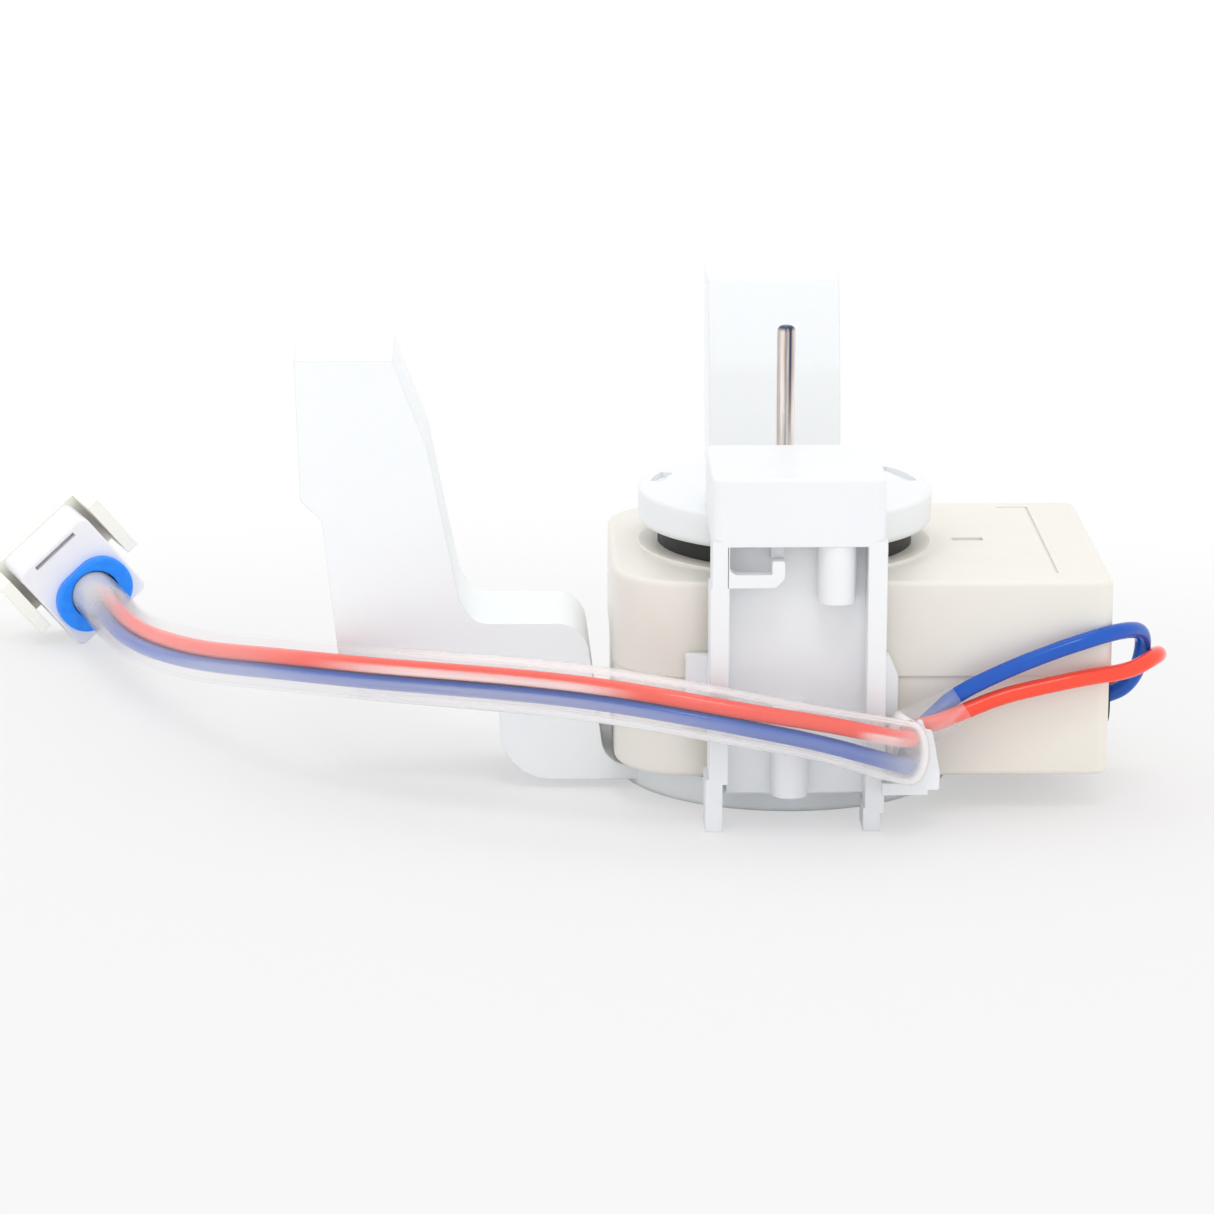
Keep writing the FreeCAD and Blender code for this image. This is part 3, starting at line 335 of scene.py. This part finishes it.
plastic = {"IOR": 1.47, "Subsurface Weight": 0.06, "Subsurface Scale": 0.003}
plug_white = moulded((0.90, 0.90, 0.93, 1), (0.86, 0.86, 0.90, 1), 0.35)
nylon_white = moulded((0.95, 0.95, 0.89, 1), (0.93, 0.92, 0.84, 1), 0.4)
dress("connector_housing", finish("plug_plastic", plug_white, plastic))
dress("connector_retainer", finish("natural_nylon", nylon_white, plastic))


def silicone(paint):
    """Silicone rubber: one bright colour with a dull bloom and a soft, slightly uneven skin."""
    bloom = paint.noise(600.0, 4.0).step(0.4, 0.75)
    return {
        "Base Color": bloom.mix((0.01, 0.25, 1.0, 1), (0.02, 0.30, 1.0, 1)),
        "Roughness": 0.3 + bloom * 0.2,
        "Normal": rounded(paint, 0.0004, paint.noise(900.0, 3.0) * 0.00002),
    }


dress("connector_seal", finish("blue_silicone", silicone, {"IOR": 1.42}))


def plated(colour, dull, rough=0.25):
    """Plated, drawn or cast metal: a fine uneven sheen and duller spots."""
    def build(paint):
        streak = paint.noise(900.0, 4.0)
        spot = paint.noise(500.0, 4.0).step(0.5, 0.8)
        return {
            "Base Color": (streak * 0.7 + spot * 0.3).mix(colour, dull),
            "Roughness": rough + streak * 0.15 + spot * 0.1,
            "Normal": rounded(paint, 0.0001, streak * 0.00001),
        }
    return build


metal = {"Metallic": 1.0}
tin = plated((0.80, 0.78, 0.74, 1), (0.62, 0.60, 0.56, 1))
dress("connector_contacts", finish("tin_plate", tin, metal))

# Shaft and rotor.
# A pale ground steel shaft with a film of old oil carries the stack of thin steel sheets, which
# has an aluminium ring cast on each end. A nylon washer on each side takes up the end play.


def ground_steel(paint):
    """Ground steel: fine rings of grinding and a film of old oil, with two painted dark reflections down its
    front and a painted dark reflection on its tip.
    """
    streak = paint.noise(900.0, 4.0, stretch=(1, 1, 0.05))
    ring = paint.noise(9000.0, 2.0, stretch=(0.02, 0.02, 1))
    place = paint.node("TexCoord", out="Object")
    across, height = (paint.node("SeparateXYZ", {}, {0: place}, out=axis) for axis in "XZ")
    # Painted reflections: two thin dark lines down the front, the right one fading out lower down, and a dark
    # blue tip.
    painted_reflection_right = 1.0 - paint.math("ABSOLUTE", across - 0.00062).step(0.0001, 0.00035)
    left = 1.0 - paint.math("ABSOLUTE", across + 0.00012).step(0.00005, 0.0003)
    painted_reflection_tip = height.step(0.0777, 0.0785)
    dark = painted_reflection_right * height.step(0.052, 0.074) + left * 0.42 + painted_reflection_tip
    oiled = streak.step(0.35, 0.65).mix((0.86, 0.79, 0.75, 1), (0.50, 0.42, 0.37, 1))
    return {
        # The painted dark reflections turn the oiled steel dark blue-grey.
        "Base Color": paint.math("MINIMUM", dark, 1.0).mix(oiled, (0.06, 0.075, 0.13, 1)),
        "Roughness": 0.14 + streak * 0.2,
        "Normal": rounded(paint, 0.0002, ring * 0.000004 + streak * 0.00001),
    }


dress("shaft", finish("ground_steel", ground_steel, metal))


def laminations(colour, rust, sheet=0.0005):
    """Stamped sheets of one thickness stacked along Z: dark lines between them, rust on the cut edges."""
    def build(paint):
        height = paint.node("SeparateXYZ", {}, {0: paint.node("TexCoord", out="Object")}, out="Z")
        seam = paint.math("PINGPONG", height, sheet / 2) * (2 / sheet)
        cut = paint.noise(1400.0, 4.0)
        patch = paint.noise(160.0, 5.0).step(0.45, 0.75)
        line = seam.step(0.0, 0.25)
        return {
            "Base Color": (line * (1.0 - patch * 0.5)).mix(rust, colour),
            "Roughness": 0.62 - line * 0.2 + cut * 0.1,
            "Normal": rounded(paint, 0.0002, line * 0.00006 + cut * 0.00002),
        }
    return build


rotor_sheets = laminations((0.42, 0.42, 0.44, 1), (0.12, 0.08, 0.06, 1))
aluminium = plated((0.78, 0.79, 0.80, 1), (0.62, 0.63, 0.65, 1), 0.4)
washer_nylon = moulded((0.86, 0.84, 0.74, 1), (0.80, 0.77, 0.66, 1), 0.45)
dress("rotor_core", finish("rotor_sheets", rotor_sheets, metal))
dress("rotor_end_rings", finish("cast_aluminium", aluminium, metal))
dress("thrust_washers", finish("washer_nylon", washer_nylon, plastic))

# Bearings, their retainers and the oil felts.
# Sintered bronze bushes with a dark, oily, finely pitted skin, held by thin spring-steel rings,
# with a ring of oiled felt behind each.


def sintered(paint):
    """Sintered bronze: fine open grains, darker where the oil has soaked through."""
    place = paint.node("TexCoord", out="Object")
    grain = paint.node("TexVoronoi", {}, {"Vector": place, "Scale": 4200.0}, out="Distance")
    oil = paint.noise(420.0, 4.0).step(0.35, 0.7)
    return {
        "Base Color": oil.mix((0.55, 0.36, 0.18, 1), (0.30, 0.19, 0.10, 1)),
        "Roughness": 0.34 + grain * 0.25,
        "Normal": rounded(paint, 0.0002, grain * 0.00004),
    }


def felt(paint):
    """Oiled wool felt: matted fibres, light and dark, soft all over."""
    fibre = paint.noise(2600.0, 6.0, stretch=(1, 1, 0.5))
    return {
        "Base Color": fibre.step(0.3, 0.7).mix((0.22, 0.17, 0.11, 1), (0.50, 0.44, 0.34, 1)),
        "Roughness": 0.8 + fibre * 0.2,
        "Normal": rounded(paint, 0.0003, fibre * 0.0003),
    }


bronze = finish("sintered_bronze", sintered, metal)
dress("lower_bearing", bronze)
dress("upper_bearing", bronze)
spring_steel = plated((0.56, 0.57, 0.60, 1), (0.34, 0.33, 0.33, 1), 0.3)
dress("bearing_retainers", finish("spring_steel", spring_steel, metal))
dress("oil_wicks", finish("oiled_felt", felt, {}))

# Stator and its shading rings.
# A stack of stamped steel sheets runs round the rotor and through the coil, with two
# bare copper loops let into each pole.
stator_sheets = laminations((0.40, 0.41, 0.43, 1), (0.16, 0.09, 0.05, 1))
copper = plated((0.90, 0.42, 0.26, 1), (0.52, 0.22, 0.13, 1), 0.3)
dress("stator_core", finish("stator_sheets", stator_sheets, metal))
dress("shading_rings", finish("bare_copper", copper, metal))

# Coil.
# Enamelled copper wire is wound in close layers on a nylon bobbin. A taped thermal fuse lies
# on it, and two crimped splices join the wire's ends to the leads.


def wound(paint):
    """Close turns of round wire across the bobbin, each a rounded bump of amber enamel, painted darker into
    the grooves between turns as painted shade.
    """
    turn = 0.00025
    along = paint.node("SeparateXYZ", {}, {0: paint.node("TexCoord", out="Object")}, out="X")
    across = paint.math("PINGPONG", along, turn / 2) * (2 / turn)
    ridge_and_groove_shade = paint.math("SINE", across * (math.pi / 2))
    tone = paint.noise(500.0, 4.0)
    return {
        # Painted shade: the enamel darkens into each groove between turns.
        "Base Color": (ridge_and_groove_shade * 0.8).mix((0.20, 0.06, 0.02, 1), (0.62, 0.24, 0.08, 1)),
        "Roughness": 0.28 + tone * 0.14,
        "Normal": rounded(paint, 0.0003, ridge_and_groove_shade * 0.00012),
    }


def taped(paint):
    """Fabric tape over the fuse: a plain weave of crossing ridges, the product of two sines."""
    thread_rate = 21000.0
    place = paint.node("TexCoord", out="Object")
    warp = paint.math("SINE", paint.node("SeparateXYZ", {}, {0: place}, out="X") * thread_rate)
    weft = paint.math("SINE", paint.node("SeparateXYZ", {}, {0: place}, out="Y") * thread_rate)
    weave = warp * weft * 0.5 + 0.5
    return {
        "Base Color": weave.mix((0.05, 0.05, 0.06, 1), (0.16, 0.16, 0.18, 1)),
        "Roughness": 0.6 + weave * 0.2,
        "Normal": rounded(paint, 0.0003, weave * 0.00008),
    }


bobbin_nylon = moulded((0.84, 0.82, 0.72, 1), (0.78, 0.75, 0.63, 1), 0.42)
crimped_tin = plated((0.76, 0.74, 0.70, 1), (0.5, 0.48, 0.44, 1), 0.35)
dress("coil_bobbin", finish("bobbin_nylon", bobbin_nylon, plastic))
dress("coil_winding", finish("enamelled_wire", wound, {"Metallic": 0.85, "Coat Weight": 0.5}))
dress("thermal_fuse", finish("fabric_tape", taped, {}))
dress("lead_splices", finish("crimped_tin", crimped_tin, metal))

# Motor housing.
# Two shells of warm beige glass-filled plastic meet on a fine parting line, with a plinth
# round the shaft. A rubber grommet lines the hole where the leads come out.
beige = moulded((0.83, 0.80, 0.735, 1), (0.81, 0.775, 0.705, 1), 0.30, 0.0004)
dress("housing_lower", finish("beige_plastic_lower", beige, plastic))
dress("housing_upper", finish("beige_plastic_upper", beige, plastic))


def black_rubber(paint):
    """Moulded black rubber: fine pores, a grey bloom of dust in soft patches."""
    dust = paint.noise(260.0, 5.0).step(0.45, 0.85)
    pore = paint.noise(3000.0, 3.0)
    return {
        "Base Color": (dust * 0.6).mix((0.012, 0.012, 0.013, 1), (0.06, 0.06, 0.065, 1)),
        "Roughness": 0.5 + dust * 0.3,
        "Normal": rounded(paint, 0.0005, pore * 0.00004),
    }


rubber = finish("black_rubber", black_rubber, {"IOR": 1.5})
dress("lead_grommet", rubber)

# Rubber rings.
# Two soft black rings stand between the housing and the bracket's cups, so that the
# motor's hum stays out of the bracket.
dress("lower_isolator", rubber)
dress("upper_isolator", rubber)

# Bracket.
# Two white polypropylene mouldings with slightly rounded edges: the base with the lower cup and its two ribbed
# legs, and the upper cup with its mast, wire hook and clip, the same white painted a little darker as painted
# shade.
base_white = moulded((0.90, 0.927, 0.945, 1), (0.88, 0.91, 0.93, 1), 0.36)
# The upper moulding's white is a darker copy of the same plastic: painted shade.
shaded_top_white = moulded((0.855, 0.873, 0.89, 1), (0.835, 0.855, 0.875, 1), 0.36)
dress("base_bracket", finish("white_plastic_base", base_white, plastic))
dress("upper_bracket", finish("white_plastic_top_shaded", shaded_top_white, plastic))

# Floor.
# A pale paper sheet under the motor, a flat disc of rings that lie closer near its middle. It
# keeps the shadows and fades to white a short way behind the motor.
reach = 3.0
floor_rings, floor_sides = 39, 96
rings = np.linspace(0, 1, floor_rings + 1)[1:, None] ** 2 * reach
angle = np.linspace(0, 2 * np.pi, floor_sides, endpoint=False)
flat = np.zeros((floor_rings, floor_sides))
disc = np.stack([rings * np.cos(angle), rings * np.sin(angle), flat], -1)
floor = grid_mesh("floor", np.concatenate([np.zeros((1, floor_sides, 3)), disc]))


def paper(paint):
    """Matt white paper with a faint tooth. Seen by the camera it grows lighter away from the motor."""
    place = paint.node("TexCoord", out="Object")
    middle = (-0.03, -0.10, 0.0)
    far = paint.node("VectorMath", {"operation": "DISTANCE"}, {0: place, 1: middle}, out="Value")
    seen = paint.node("LightPath", out="Is Camera Ray")
    return {
        "Base Color": seen.mix((0.93, 0.93, 0.93, 1), (0.40, 0.40, 0.40, 1)),
        "Emission Color": seen.mix((0.0, 0.0, 0.0, 1), (0.46, 0.46, 0.462, 1)),
        "Alpha": 1.0 - far.step(0.19, 0.31) * seen,
        "Normal": paint.node("Bump", {}, {"Distance": 1.0, "Height": paint.noise(1800.0, 3.0) * 0.00002}),
    }


floor.data.materials.append(finish("paper", paper, {
    "Roughness": 0.95, "Specular IOR Level": 0.2, "Emission Strength": 1.0}))

# Light.
# A plain white room fills the shadows. Two soft lamps hang high above the motor, a small one
# in front of it and a wide one behind.
world = bpy.data.worlds.new("room")
bpy.context.scene.world = world
world.use_nodes = True
background = world.node_tree.nodes["Background"]
background.inputs["Color"].default_value = (1, 1, 1, 1)
background.inputs["Strength"].default_value = 1.0


def softbox(name, size, watts, place, turn):
    """A square lamp of soft light, turned by the three angles in degrees."""
    lamp = bpy.data.objects.new(name, bpy.data.lights.new(name, "AREA"))
    bpy.context.scene.collection.objects.link(lamp)
    lamp.data.shape = "SQUARE"
    lamp.data.size = size
    lamp.data.energy = watts
    lamp.location = place
    lamp.rotation_euler = [math.radians(angle) for angle in turn]


softbox("front_lamp", 0.8, 15.0, (0.1, -1.7, 3.1), (29, 0, 3))
softbox("back_lamp", 1.5, 8.0, (-0.1, 1.2, 3.2), (-20.5, 0, -2))

bpy.context.scene.view_settings.view_transform = "Standard"
